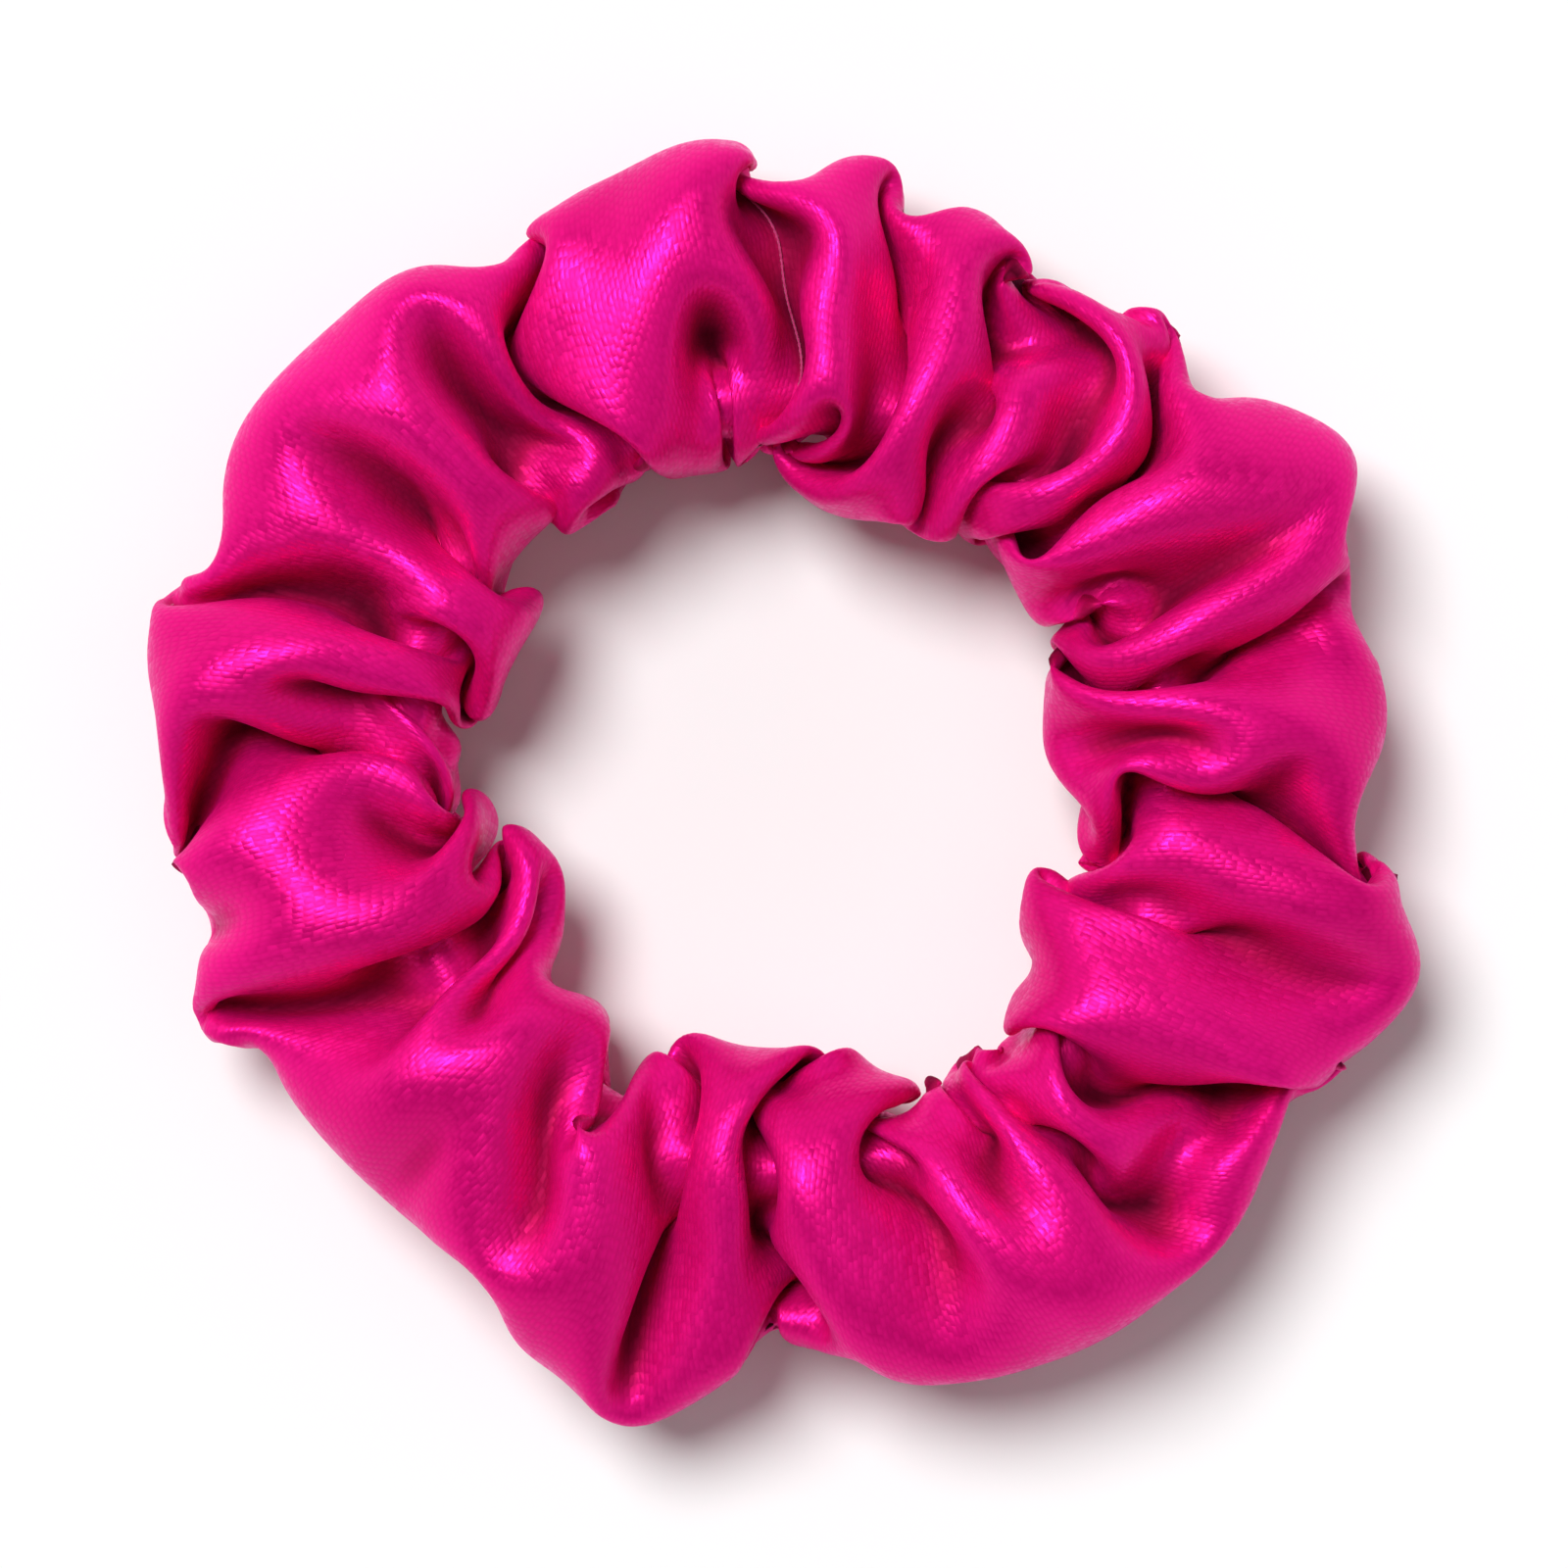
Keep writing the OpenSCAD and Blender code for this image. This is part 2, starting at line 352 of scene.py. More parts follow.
def keep_creases(x, deg):
    """Draws the cloth down in each crease, and leans the puffs beside it over it."""
    rows = x.shape[1]
    phi = np.arange(rows) * 2 * np.pi / rows
    rise, outwards = np.sin(phi), (1 + np.cos(phi)) / 2
    tangent = np.stack([-x[..., 1], x[..., 0]], -1)
    tangent /= np.linalg.norm(tangent, axis=-1, keepdims=True)
    for middle, _, _, deep_outside, deep_inside, lean in creases_by_middle().T:
        away = wrapped(deg - middle)
        strength = deep_inside + (deep_outside - deep_inside) * outwards
        height = PUFF_HEIGHT * (1 - PINNED_DEPTH * strength) * rise
        nearest = int(np.argmin(np.abs(away)))
        for step, share in ((-1, 0.5), (0, 1), (1, 0.5)):
            column = (nearest + step) % len(deg)
            above = (x[column, :, 2] - MID_Z - height) * np.sign(rise)
            lowered = CREASE_PULL * share * strength * np.maximum(above, 0)
            x[column, :, 2] -= lowered * np.sign(rise)
        beside = np.exp(-((away / 6) ** 2)) * (np.abs(away) > 0.4)
        push = -LEAN_PUSH * lean * beside[:, None] * (strength * np.abs(rise))[None]
        x[..., :2] += push[..., None] * tangent
    return x


def settle(x, steps, let_out, pressure, deg=None):
    """Lets the cloth out to its real size over let_out steps, and settles it. With the directions of
    its columns, it is also held to the outline, the creases and the pinches."""
    columns, rows = x.shape[:2]
    along, across = CLOTH_LENGTH / columns, CLOTH_ROUND / rows
    first_along = np.linalg.norm(np.roll(x, -1, 0) - x, axis=-1)
    first_across = np.linalg.norm(np.roll(x, -1, 1) - x, axis=-1)
    gap = LAYER_GAP * (along + across) / 2
    for step in range(steps):
        share = min(1, (step + 1) / let_out)
        rest_along = first_along * (1 - share) + along * share
        rest_across = first_across * (1 - share) + across * share
        x = x + area_normals(x) * (pressure / (4 * along * across))
        x[..., 2] -= SINK
        for _ in range(2):
            x = resist_bending(resist_bending(x, 0, BEND_STIFFNESS), 1, BEND_STIFFNESS)
            if share == 1:
                x = resist_shear(x, np.hypot(along, across), SHEAR_STIFFNESS)
            x = hold_lengths(x, rest_across, 1, give=0.5)
            x = hold_lengths(x, rest_along, 0)
        if step % PAIR_STEPS == 0:
            pairs = close_pairs(x, PAIR_REACH * gap)
        x = push_apart(x, pairs, gap)
        if deg is not None:
            x = keep_pinches(keep_creases(keep_outline(x, deg), deg))
        x = clear_elastic(x)
        x[..., 2] = np.maximum(x[..., 2], 0)
    return x


def doubled(x):
    """The grid with twice the points each way, on smooth curves through the old ones."""
    for axis in (0, 1):
        before, after, far = np.roll(x, 1, axis), np.roll(x, -1, axis), np.roll(x, -2, axis)
        between = (9 * (x + after) - before - far) / 16
        x = np.stack([x, between], axis + 1).reshape(
            [n * 2 if k == axis else n for k, n in enumerate(x.shape)]
        )
    return x


def gathered_cloth():
    """The settled cloth, and the directions of the coarse grid's columns."""
    x, deg = start_grid(280, 48)
    x = settle(x, COARSE_STEPS, COARSE_LET_OUT, 0.006, deg)
    return settle(doubled(x), FINE_STEPS, FINE_LET_OUT, 0.004), deg


cloth, column_deg = gathered_cloth()
COLUMNS, ROWS = cloth.shape[:2]

# ---------------------------------------------------------------- mesh helpers


def add_mesh(name, points, faces, material):
    """A smooth mesh object from points in millimetres."""
    mesh = bpy.data.meshes.new(name)
    mesh.from_pydata((points * MM).tolist(), [], faces)
    mesh.polygons.foreach_set("use_smooth", [True] * len(mesh.polygons))
    mesh.materials.append(material)
    mesh.update()
    piece = bpy.data.objects.new(name, mesh)
    bpy.context.collection.objects.link(piece)
    return piece


def grid_faces(columns, rows, close_columns, close_rows, offset=0):
    """Quads of a grid of points, facing along the cross product of its two axes."""
    i = np.arange(columns if close_columns else columns - 1)[:, None]
    j = np.arange(rows if close_rows else rows - 1)[None]
    i_next, j_next = (i + 1) % columns, (j + 1) % rows
    corners = [i * rows + j, i_next * rows + j, i_next * rows + j_next, i * rows + j_next]
    return np.stack(corners, -1).reshape(-1, 4) + offset


def unit(v):
    return v / np.maximum(np.linalg.norm(v, axis=-1, keepdims=True), 1e-9)


def swept(path, outwards, section):
    """Points of a section swept along an open path: section holds (outwards, sideways) offsets."""
    along = unit(np.gradient(path, axis=0))
    out = unit(outwards - (outwards * along).sum(-1, keepdims=True) * along)
    side = np.cross(along, out)
    return path[:, None] + section[..., :1] * out[:, None] + section[..., 1:] * side[:, None]


def add_swept(name, strands, material):
    """One object of several swept strands, each an array of rings, with closed ends."""
    points, faces, offset = [], [], 0
    for rings in strands:
        count, sides = rings.shape[:2]
        points.append(rings.reshape(-1, 3))
        faces += grid_faces(count, sides, False, True, offset)[:, ::-1].tolist()
        faces.append(list(range(offset, offset + sides)))
        faces.append(list(range(offset + count * sides - 1, offset + (count - 1) * sides - 1, -1)))
        offset += count * sides
    return add_mesh(name, np.concatenate(points), faces, material)


def thread_rings(path, outwards, radius=THREAD_R, sides=8, twist=1.1):
    """A two-ply sewing thread: its section is waisted, and turns along the path."""
    steps = np.linalg.norm(np.diff(path, axis=0), axis=-1)
    turn = np.concatenate([[0], np.cumsum(steps)]) / twist * 2 * np.pi
    a = np.arange(sides) * 2 * np.pi / sides
    r = radius * (0.86 + 0.14 * np.cos(2 * (a[None] - turn[:, None])))
    return swept(path, outwards, np.stack([r * np.cos(a), r * np.sin(a)], -1))


def resampled(points, count):
    """Evenly spaced points along a path, with anything else carried in its columns."""
    steps = np.linalg.norm(np.diff(points[:, :3], axis=0), axis=-1)
    along = np.concatenate([[0], np.cumsum(steps)])
    at = np.linspace(0, along[-1], count)
    return np.stack([np.interp(at, along, column) for column in points.T], -1), along[-1]


# ---------------------------------------------------------------- materials


def new_material(name):
    material = bpy.data.materials.new(name)
    material.use_nodes = True
    nodes, links = material.node_tree.nodes, material.node_tree.links
    return material, nodes, links, nodes["Principled BSDF"]


def math_node(nodes, links, operation, first, second=None):
    """A Math node whose inputs are sockets or numbers."""
    node = nodes.new("ShaderNodeMath")
    node.operation = operation
    for socket, value in zip(node.inputs, (first, second)):
        if isinstance(value, bpy.types.NodeSocket):
            links.new(value, socket)
        elif value is not None:
            socket.default_value = value
    return node.outputs[0]


def noise(nodes, links, vector, scale, detail=2.0, roughness=0.5):
    node = nodes.new("ShaderNodeTexNoise")
    node.inputs["Scale"].default_value = scale
    node.inputs["Detail"].default_value = detail
    node.inputs["Roughness"].default_value = roughness
    links.new(vector, node.inputs["Vector"])
    return node.outputs["Fac"]


def ramp(nodes, links, value, stops):
    """A colour ramp over (position, colour) stops."""
    node = nodes.new("ShaderNodeValToRGB")
    while len(node.color_ramp.elements) < len(stops):
        node.color_ramp.elements.new(0.5)
    for element, (position, colour) in zip(node.color_ramp.elements, stops):
        element.position = position
        element.color = (*colour, 1)
    links.new(value, node.inputs[0])
    return node.outputs[0]


def bump(nodes, links, height, distance, strength):
    node = nodes.new("ShaderNodeBump")
    node.inputs["Distance"].default_value = distance
    node.inputs["Strength"].default_value = strength
    links.new(height, node.inputs["Height"])
    return node.outputs[0]


def to_range(nodes, links, value, low, high, from_low=0.0, from_high=1.0):
    node = nodes.new("ShaderNodeMapRange")
    node.inputs["From Min"].default_value = from_low
    node.inputs["From Max"].default_value = from_high
    node.inputs["To Min"].default_value = low
    node.inputs["To Max"].default_value = high
    links.new(value, node.inputs["Value"])
    return node.outputs[0]


def multiplied(nodes, links, first, second):
    """The product of two colours."""
    node = nodes.new("ShaderNodeMix")
    node.data_type = "RGBA"
    node.blend_type = "MULTIPLY"
    node.inputs["Factor"].default_value = 1
    links.new(first, node.inputs[6])
    links.new(second, node.inputs[7])
    return node.outputs[2]


def weighted(nodes, links, parts):
    """The weighted sum of several sockets."""
    total = None
    for socket, weight in parts:
        part = math_node(nodes, links, "MULTIPLY", socket, weight)
        total = part if total is None else math_node(nodes, links, "ADD", total, part)
    return total


def random_value(nodes, links, vector):
    """A random number for each whole-numbered position."""
    node = nodes.new("ShaderNodeTexWhiteNoise")
    node.noise_dimensions = "2D"
    links.new(vector, node.inputs["Vector"])
    return node.outputs["Value"]


def combined(nodes, links, x, y=None):
    node = nodes.new("ShaderNodeCombineXYZ")
    links.new(x, node.inputs[0])
    if y:
        links.new(y, node.inputs[1])
    return node.outputs[0]


def satin_floats(nodes, links, uv, row_width=0.00048, float_length=0.0010):
    """The weave: rows of yarn floats that run round the tube. Gives the height and a random number."""
    split = nodes.new("ShaderNodeSeparateXYZ")
    links.new(uv, split.inputs[0])
    wander = noise(nodes, links, uv, 300, 2)
    row = math_node(nodes, links, "DIVIDE", split.outputs[0], row_width)
    row = weighted(nodes, links, ((row, 1), (wander, 1.2)))
    row_number = math_node(nodes, links, "FLOOR", row)
    row_part = math_node(nodes, links, "FRACT", row)
    shift = random_value(nodes, links, combined(nodes, links, row_number))
    at = math_node(nodes, links, "DIVIDE", split.outputs[1], float_length)
    at = weighted(nodes, links, ((at, 1), (shift, 1)))
    float_number = math_node(nodes, links, "FLOOR", at)
    float_part = math_node(nodes, links, "FRACT", at)
    chance = random_value(nodes, links, combined(nodes, links, row_number, float_number))
    across = math_node(nodes, links, "SINE", math_node(nodes, links, "MULTIPLY", row_part, math.pi))
    length = math_node(nodes, links, "SINE", math_node(nodes, links, "MULTIPLY", float_part, math.pi))
    dome = math_node(nodes, links, "MULTIPLY", across, length)
    # Each float lies tilted its own way, which makes some of them glint.
    tilt = math_node(nodes, links, "MULTIPLY", math_node(nodes, links, "SUBTRACT", row_part, 0.5),
                     math_node(nodes, links, "SUBTRACT", chance, 0.5))
    return weighted(nodes, links, ((dome, 0.6), (tilt, 0.9))), dome, chance


def satin_material():
    """Fuchsia polyester satin."""
    material, nodes, links, shader = new_material("fuchsia_satin")
    uv_map = nodes.new("ShaderNodeUVMap")
    uv_map.uv_map = "cloth"
    uv = uv_map.outputs[0]
    height, dome, chance = satin_floats(nodes, links, uv)
    cloud = noise(nodes, links, uv, 45, 3)
    # Random tone from the cloud and from each float's chance, and painted light: the dome makes each
    # float's crown lighter and its edges darker.
    tone_and_painted_float_light = weighted(nodes, links, ((cloud, 0.80), (chance, 0.06), (dome, 0.14)))
    colour = ramp(nodes, links, tone_and_painted_float_light, [
        (0.25, (0.66, 0.0025, 0.160)),
        (0.50, (0.78, 0.0040, 0.205)),
        (0.75, (0.90, 0.0060, 0.260)),
    ])
    # Painted shade: the base colour is darkened and turned redder down in the folds, by each point's
    # fold depth.
    fold = nodes.new("ShaderNodeAttribute")
    fold.attribute_name = "fold_depth"
    painted_fold_shade = ramp(nodes, links, fold.outputs["Fac"], [
        (0.0, (1, 1, 1)),
        (0.5, (0.52, 0.42, 0.33)),
        (1.0, (0.12, 0.10, 0.06)),
    ])
    links.new(multiplied(nodes, links, colour, painted_fold_shade), shader.inputs["Base Color"])
    shine = to_range(nodes, links, chance, 0.28, 0.50)
    rough = weighted(nodes, links, ((shine, 1), (fold.outputs["Fac"], 0.45)))
    links.new(rough, shader.inputs["Roughness"])
    tangent = nodes.new("ShaderNodeTangent")
    tangent.direction_type = "UV_MAP"
    tangent.uv_map = "cloth"
    links.new(tangent.outputs[0], shader.inputs["Tangent"])
    shader.inputs["Anisotropic"].default_value = 0.5
    shader.inputs["Metallic"].default_value = 0.42
    shader.inputs["IOR"].default_value = 1.25
    shader.inputs["Specular IOR Level"].default_value = 0.55
    shader.inputs["Specular Tint"].default_value = (1.0, 0.42, 0.95, 1)
    shader.inputs["Sheen Weight"].default_value = 0.10
    shader.inputs["Sheen Roughness"].default_value = 0.35
    shader.inputs["Sheen Tint"].default_value = (0.75, 0.02, 0.40, 1)
    links.new(bump(nodes, links, height, 0.00008, 0.50), shader.inputs["Normal"])
    return material


def thread_material(name, colour, dark):
    material, nodes, links, shader = new_material(name)
    coordinates = nodes.new("ShaderNodeTexCoord").outputs["Object"]
    fibres = noise(nodes, links, coordinates, 9000, 3, 0.7)
    links.new(ramp(nodes, links, fibres, [(0.3, dark), (0.7, colour)]), shader.inputs["Base Color"])
    links.new(to_range(nodes, links, fibres, 0.45, 0.75), shader.inputs["Roughness"])
    shader.inputs["Sheen Weight"].default_value = 0.3
    links.new(bump(nodes, links, fibres, 0.00004, 0.5), shader.inputs["Normal"])
    return material


def braid_material():
    material, nodes, links, shader = new_material("white_braid")
    coordinates = nodes.new("ShaderNodeTexCoord").outputs["Object"]
    fibres = noise(nodes, links, coordinates, 5000, 4, 0.7)
    soil = noise(nodes, links, coordinates, 60, 2)
    both = weighted(nodes, links, ((fibres, 0.7), (soil, 0.3)))
    links.new(ramp(nodes, links, both, [(0.3, (0.66, 0.65, 0.60)), (0.65, (0.88, 0.88, 0.85))]),
              shader.inputs["Base Color"])
    links.new(to_range(nodes, links, fibres, 0.6, 0.9), shader.inputs["Roughness"])
    shader.inputs["Sheen Weight"].default_value = 0.25
    links.new(bump(nodes, links, fibres, 0.00005, 0.5), shader.inputs["Normal"])
    return material


def rubber_material():
    material, nodes, links, shader = new_material("natural_rubber")
    coordinates = nodes.new("ShaderNodeTexCoord").outputs["Object"]
    talc = noise(nodes, links, coordinates, 1500, 4, 0.6)
    links.new(ramp(nodes, links, talc, [(0.35, (0.50, 0.36, 0.17)), (0.65, (0.74, 0.64, 0.44))]),
              shader.inputs["Base Color"])
    links.new(to_range(nodes, links, talc, 0.45, 0.8), shader.inputs["Roughness"])
    shader.inputs["Subsurface Weight"].default_value = 0.15
    shader.inputs["Subsurface Radius"].default_value = (0.002, 0.0012, 0.0006)
    links.new(bump(nodes, links, talc, 0.00003, 0.4), shader.inputs["Normal"])
    return material


satin = satin_material()
magenta_thread = thread_material("magenta_thread", (0.62, 0.012, 0.20), (0.34, 0.004, 0.09))
white_thread = thread_material("white_thread", (0.92, 0.92, 0.90), (0.66, 0.66, 0.62))

# ---------------------------------------------------------------- cover

outwards = unit(area_normals(cloth))
seam_column = int(np.argmin(np.abs(wrapped(column_deg - CLOSING_DEG)))) * 2


def evened(loop, passes=12):
    """A closed row of points with its small kinks taken out."""
    for _ in range(passes):
        loop = (2 * loop + np.roll(loop, 1, 0) + np.roll(loop, -1, 0)) / 4
    return loop


def inside_tube(depth, lift, rows=32):
    """A row of points this deep in from the tube's outer edge, midway between the cloth above and
    below and then lifted, or less where the tube is too flat for it. Gives the way up too."""
    above, below = cloth[:, :rows], cloth[:, -np.arange(rows)]
    middle, rise = (above + below) / 2, (above - below) / 2
    steps = np.linalg.norm(np.diff(middle, axis=1), axis=-1)
    reached = np.concatenate([np.zeros((COLUMNS, 1)), np.cumsum(steps, 1)], 1)
    column = np.arange(COLUMNS)
    k = np.clip((reached < depth).sum(1), 1, rows - 1)
    span = reached[column, k] - reached[column, k - 1] + 1e-9
    share = np.clip((depth - reached[column, k - 1]) / span, 0, 1)[:, None]
    point = middle[column, k - 1] * (1 - share) + middle[column, k] * share
    rise = rise[column, k - 1] * (1 - share) + rise[column, k] * share
    room = np.maximum(np.linalg.norm(rise, axis=-1) - 0.4, 0.05)
    up = unit(rise) * np.sign(lift)
    return evened(point + up * np.minimum(abs(lift), room)[:, None], 2), up


def fold_depth(x, passes=24, full_depth=1.6):
    """How far each point lies below the cloth round it, smoothed: 0 on the puffs, 1 in the folds."""
    calm = x
    for _ in range(passes):
        for axis in (0, 1):
            calm = (2 * calm + np.roll(calm, 1, axis) + np.roll(calm, -1, axis)) / 4
    below = ((calm - x) * outwards).sum(-1)
    return np.clip((below - 0.15) / full_depth, 0, 1)


def satin_cover():
    """The tube with its two seams pressed in, and the raw edges of the long seam inside it."""
    x = cloth.copy()
    x[:, 0] -= 0.28 * outwards[:, 0]
    x[:, (-1, 1)] += 0.06 * outwards[:, (-1, 1)]
    x[seam_column] -= 0.25 * outwards[seam_column]
    faces = [grid_faces(COLUMNS, ROWS, True, True)]
    points = [x.reshape(-1, 3)]
    uv = [uv_of_grid(COLUMNS, ROWS, 0, CLOTH_ROUND / ROWS)]
    offset = COLUMNS * ROWS
    depths = np.linspace(0.6, ALLOWANCE, 5)
    for side in (1, -1):
        fin = np.stack([inside_tube(d, side * (0.2 + 0.1 * d / ALLOWANCE))[0] for d in depths], 1)
        points.append(fin.reshape(-1, 3))
        fin_faces = grid_faces(COLUMNS, 5, True, False, offset)
        faces.append(fin_faces if side > 0 else fin_faces[:, ::-1])
        strip_uv = uv_of_grid(COLUMNS, 4, CLOTH_ROUND, ALLOWANCE / 4)
        uv.append(strip_uv if side > 0 else strip_uv[:, ::-1])
        offset += COLUMNS * 5
    piece = add_mesh("satin_cover", np.concatenate(points), np.concatenate(faces).tolist(), satin)
    depth = piece.data.attributes.new("fold_depth", "FLOAT", "POINT")
    # The raw edges inside the tube get a fold depth of 1, so they take the full painted shade.
    inside = np.ones(len(piece.data.vertices) - COLUMNS * ROWS)
    depth.data.foreach_set("value", np.concatenate([fold_depth(cloth).ravel(), inside]))
    layer = piece.data.uv_layers.new(name="cloth")
    layer.data.foreach_set("uv", (np.concatenate([u.reshape(-1, 2) for u in uv]) * MM).ravel())
    smooth = piece.modifiers.new("smooth", "SUBSURF")
    smooth.levels = smooth.render_levels = 1
    thick = piece.modifiers.new("cloth_thickness", "SOLIDIFY")
    thick.thickness = CLOTH_THICKNESS * MM
    thick.offset = -1
    return piece


def uv_of_grid(columns, rows, start, step):
    """Each quad's corners on the flat cloth, in millimetres: along the tube, and round it."""
    i, j = np.meshgrid(np.arange(columns), np.arange(rows), indexing="ij")
    along = CLOTH_LENGTH / columns
    corners = [(0, 0), (1, 0), (1, 1), (0, 1)]
    return np.stack(
        [np.stack([(i + a) * along, start + (j + b) * step], -1) for a, b in corners], 2
    ).reshape(-1, 4, 2)


cover = satin_cover()

# ---------------------------------------------------------------- threads


def stitched(points, out, lift):
    """A row of lockstitch on a surface: the thread bows up between the needle holes."""
    # A short seam gets more points to a stitch than a long one.
    count = int(20 * len(points) ** 0.75)
    path, length = resampled(np.concatenate([points, out], 1), count)
    at = np.linspace(0, length, count)
    bow = np.abs(np.sin(np.pi * at / STITCH)) ** 0.5
    out = unit(path[:, 3:])
    height = lift + STITCH_BOW * (bow - 1)
    return thread_rings(path[:, :3] + height[:, None] * out, out)


def closing_thread(name, rows):
    return add_swept(
        name, [stitched(cloth[seam_column, rows], outwards[seam_column, rows], 0.10)], magenta_thread
    )


def long_seam_thread(name, side):
    path, up = inside_tube(1.4, side * 0.42)
    path, up = np.roll(path, -seam_column, 0), np.roll(up, -seam_column, 0)
    return add_swept(name, [stitched(path, up, 0.14)], magenta_thread)


# The closing seam's stitches stop two rows short of the tube's two edges.
top_rows = np.arange(2, ROWS // 2 - 2)
closing_needle = closing_thread("closing_seam_needle_stitches", top_rows)
closing_bobbin = closing_thread("closing_seam_bobbin_stitches", top_rows + ROWS // 2)
long_needle = long_seam_thread("long_seam_needle_stitches", 1)
long_bobbin = long_seam_thread("long_seam_bobbin_stitches", -1)

# ---------------------------------------------------------------- elastic

LAP_LIFT = BRAID_T + 0.08
lap_start, lap_end = CLOSING_DEG - LAP_DEG / 2, CLOSING_DEG + LAP_DEG / 2


def band_path(step_mm):
    """The band's centre line: from its first end, once round, and up over that end."""
    sweep = 360 + LAP_DEG
    count = int(np.radians(sweep) * BRAID_R / step_mm)
    turned = np.linspace(0, sweep, count)
    climb = np.clip((turned - (360 - RAMP_DEG)) / RAMP_DEG, 0, 1)
    r = BRAID_R + LAP_LIFT * (1 - np.cos(np.pi * climb)) / 2
    a = np.radians(lap_end - turned)
    out = np.stack([np.cos(a), np.sin(a), np.zeros(count)], -1)
    path = out * r[:, None]
    path[:, 2] = MID_Z
    return path, out, np.radians(turned) * BRAID_R


def elastic_braid():
    """The flat braid: eight ribs over the cords, and yarns that cross in a herringbone."""
    path, out, along = band_path(0.25)
    across = np.linspace(-0.5, 0.5, 33)
    rib = np.abs(np.cos(np.pi * CORDS * (across + 0.5)))
    slant = np.where(np.floor((across + 0.5) * CORDS) % 2 > 0, 1, -1) * across * CORDS
    yarn = np.abs(np.sin(np.pi * (along[:, None] / YARN_REPEAT + slant[None])))
    edge = np.sqrt(np.clip(1 - np.abs(2 * across) ** 8, 0.02, 1))
    thickness = BRAID_T / 2 * edge * (0.70 + 0.14 * rib + 0.16 * yarn)
    width = across * BRAID_W
    front = np.stack([thickness, np.broadcast_to(width, thickness.shape)], -1)
    back = np.stack([-thickness, np.broadcast_to(width, thickness.shape)], -1)[:, ::-1]
    rings = swept(path, out, np.concatenate([front, back], 1))
    return add_swept("elastic_braid", [rings], braid_material())


def rubber_cords():
    path, out, along = band_path(0.9)
    half = CORD_SIDE / 2
    corners = np.array([(half, -half), (half, half), (-half, half), (-half, -half)])
    strands = []
    for k in range(CORDS):
        height = BRAID_W * ((k + 0.5) / CORDS - 0.5)
        nipped = 1 - 0.05 * np.abs(np.sin(np.pi * along / YARN_REPEAT + k))
        section = corners[None] * nipped[:, None, None]
        raised = path + np.array([0, 0, height])
        strands.append(swept(raised, out, section))
    piece = add_swept("rubber_cords", strands, rubber_material())
    piece.data.polygons.foreach_set("use_smooth", [False] * len(piece.data.polygons))
    return piece


def join_thread(name, r):
    """A zigzag over the lapped ends, on one face of the band."""
    legs, width, edge_deg = 14, 4.6, 2
    count = legs * 12
    zig = np.arange(count + 1) / count * legs
    across = np.abs(zig % 2 - 1) - 0.5
    a = np.radians(np.linspace(lap_start + edge_deg, lap_end - edge_deg, count + 1))
    out = np.stack([np.cos(a), np.sin(a), np.zeros(count + 1)], -1)
    dip = 0.08 * np.abs(2 * across) ** 6
    path = out * (r + np.sign(r - BRAID_R) * (0.05 - dip))[:, None]
    path[:, 2] = MID_Z + width * across
    return add_swept(name, [thread_rings(path, out)], white_thread)


braid = elastic_braid()
cords = rubber_cords()
join_needle = join_thread("elastic_join_needle_stitches", BRAID_R + LAP_LIFT + BRAID_T / 2 + THREAD_R)
join_bobbin = join_thread("elastic_join_bobbin_stitches", BRAID_R - BRAID_T / 2 - THREAD_R)

# ---------------------------------------------------------------- what each piece stands for

HALVES = ("_held_half", "_pulled_half")


def both_halves(name):
    return [name + half for half in HALVES]


STANDS_FOR = [
    (cover, "satin", both_halves("cover")),
    (long_needle, "magenta_thread", both_halves("long_seam_needle_thread")),
    (long_bobbin, "magenta_thread", both_halves("long_seam_bobbin_thread")),
    (closing_needle, "magenta_thread", ["closing_seam_needle_thread"]),
    (closing_bobbin, "magenta_thread", ["closing_seam_bobbin_thread"]),
    (braid, "white_braid", both_halves("elastic_braid")),
    (cords, "natural_rubber", both_halves("rubber_cords")),
    (join_needle, "white_thread", ["elastic_join_needle_thread"]),
    (join_bobbin, "white_thread", ["elastic_join_bobbin_thread"]),
]
for piece, slot, nodes_replaced in STANDS_FOR:
    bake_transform(piece)
    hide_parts(*nodes_replaced)

# ---------------------------------------------------------------- stage


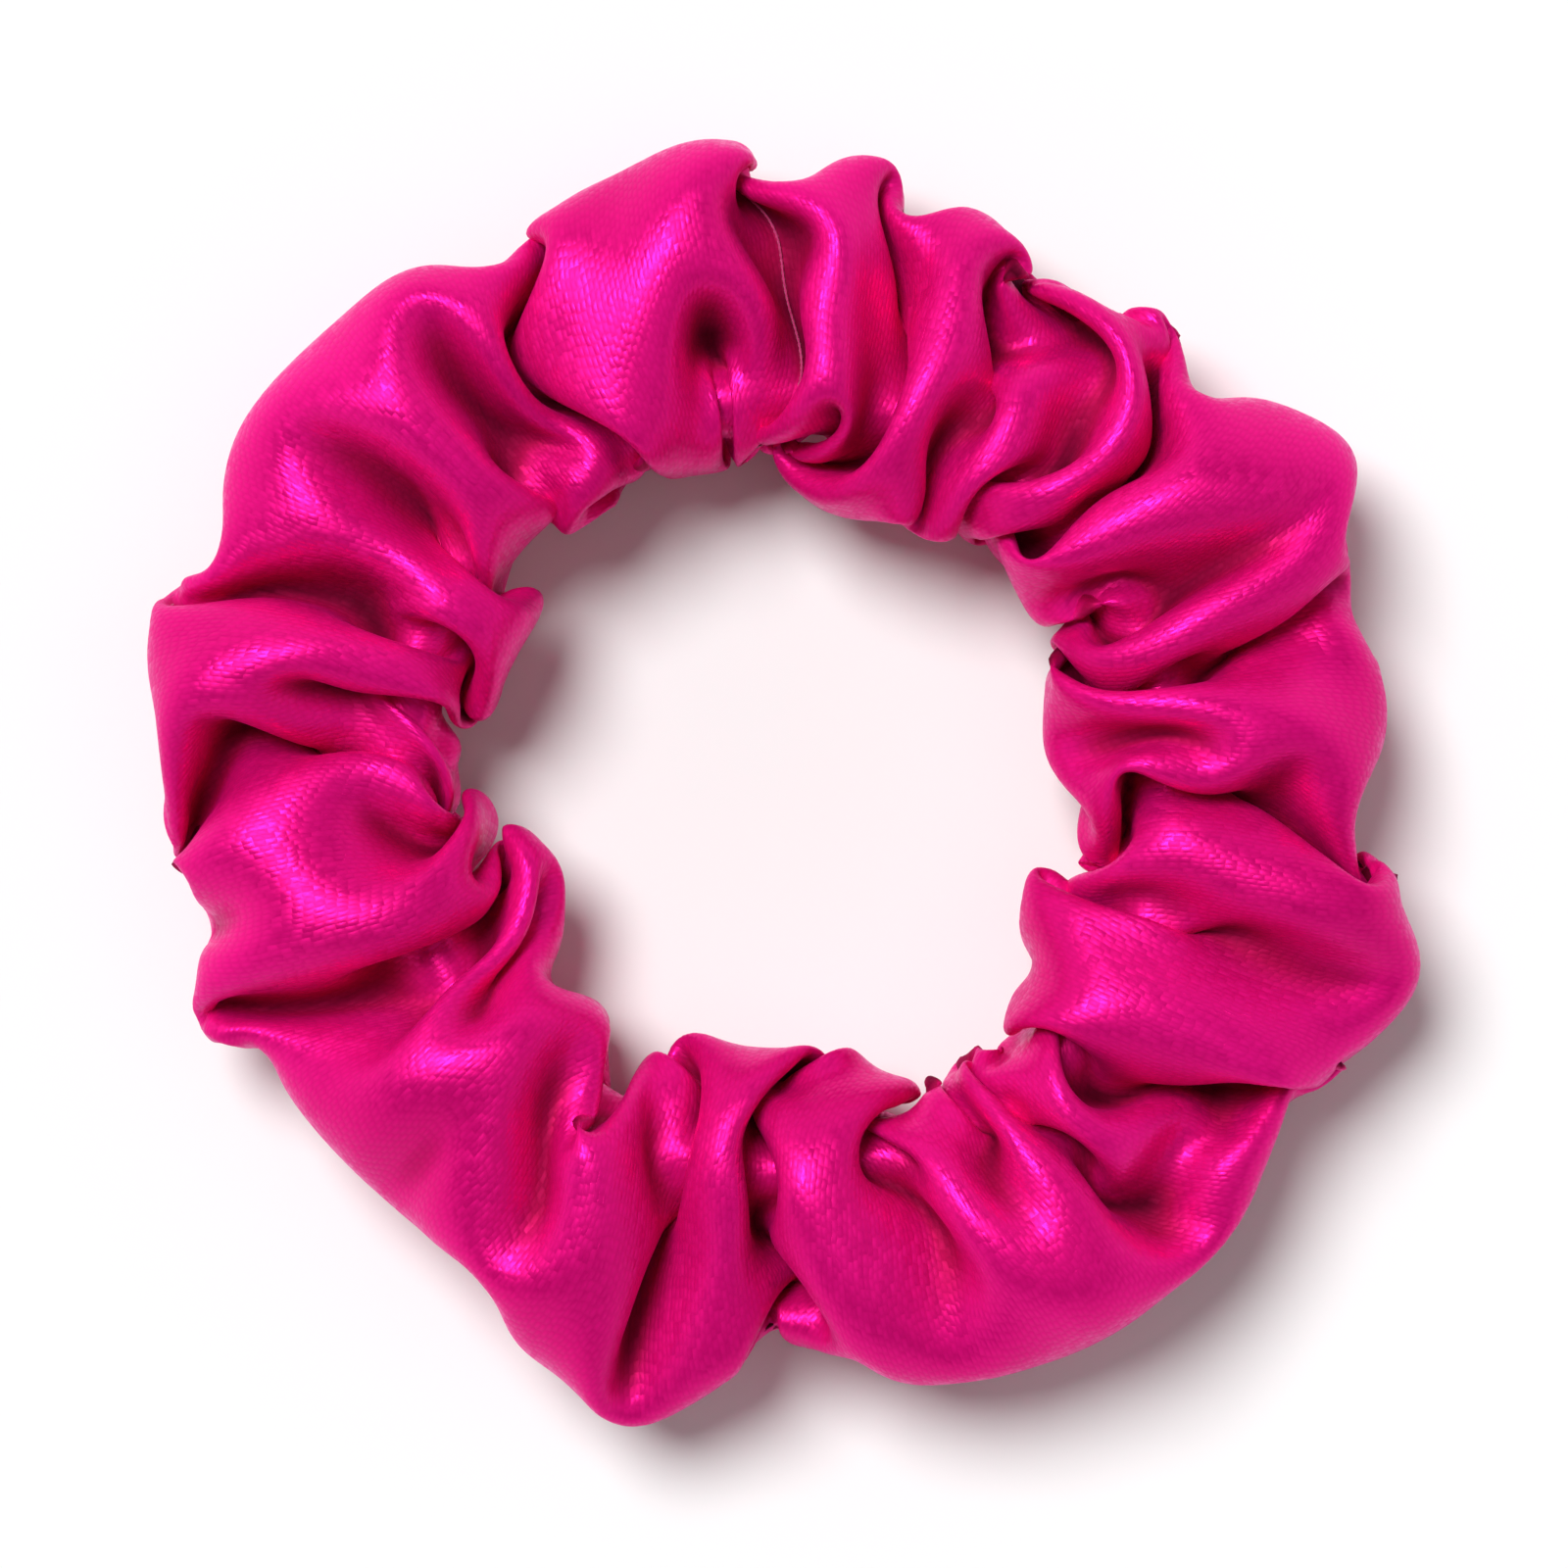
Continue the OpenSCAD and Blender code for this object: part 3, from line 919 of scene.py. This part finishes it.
def add_floor():
    """A pale square just under the ring, far wider than the picture."""
    half = 3.0
    corners = [(-half, -half, 0), (half, -half, 0), (half, half, 0), (-half, half, 0)]
    mesh = bpy.data.meshes.new("floor")
    mesh.from_pydata(corners, [], [(0, 1, 2, 3)])
    material, nodes, links, shader = new_material("pale_floor")
    shader.inputs["Base Color"].default_value = (0.92, 0.92, 0.92, 1)
    shader.inputs["Roughness"].default_value = 0.8
    mesh.materials.append(material)
    floor = bpy.data.objects.new("floor", mesh)
    floor.location.z = -0.0001
    bpy.context.collection.objects.link(floor)


def aimed(name, light, location):
    """Puts a light at a place, aimed at the ring's centre."""
    lamp = bpy.data.objects.new(name, light)
    lamp.location = location
    lamp.rotation_euler = (-Vector(location)).to_track_quat("-Z", "Y").to_euler()
    bpy.context.collection.objects.link(lamp)


def add_key(location, strength, spread):
    """A far soft light, so that it is as strong all over the floor."""
    light = bpy.data.lights.new("key", "SUN")
    light.energy = strength
    light.angle = spread
    aimed("key", light, location)


def add_fill(location, size, power):
    light = bpy.data.lights.new("fill", "AREA")
    light.size = size
    light.energy = power
    aimed("fill", light, location)


def add_world(low, high):
    """A pale studio: bright low down all round, and dim overhead, so that the folds stay deep."""
    world = bpy.data.worlds.new("studio")
    bpy.context.scene.world = world
    world.use_nodes = True
    nodes, links = world.node_tree.nodes, world.node_tree.links
    split = nodes.new("ShaderNodeSeparateXYZ")
    links.new(nodes.new("ShaderNodeTexCoord").outputs["Generated"], split.inputs[0])
    strength = to_range(nodes, links, split.outputs[2], low, high, from_low=0.30, from_high=0.60)
    links.new(strength, nodes["Background"].inputs[1])
    nodes["Background"].inputs[0].default_value = (1, 1, 1, 1)


def add_camera(distance=0.60, frame_width=0.1378):
    """Straight overhead, with +Y up in the picture."""
    data = bpy.data.cameras.new("camera")
    camera = bpy.data.objects.new("camera", data)
    camera.location = (0, 0, MID_Z * MM + distance)
    data.sensor_width = 36
    data.lens = data.sensor_width * distance / frame_width
    data.clip_start = 0.01
    bpy.context.collection.objects.link(camera)
    bpy.context.scene.camera = camera


add_floor()
add_key((-0.17, 0.20, 0.48), 3.1, 0.5)
add_fill((0.20, -0.05, 0.60), 0.50, 0.3)
add_world(0.80, 0.05)
add_camera()
bpy.context.scene.view_settings.view_transform = "Standard"
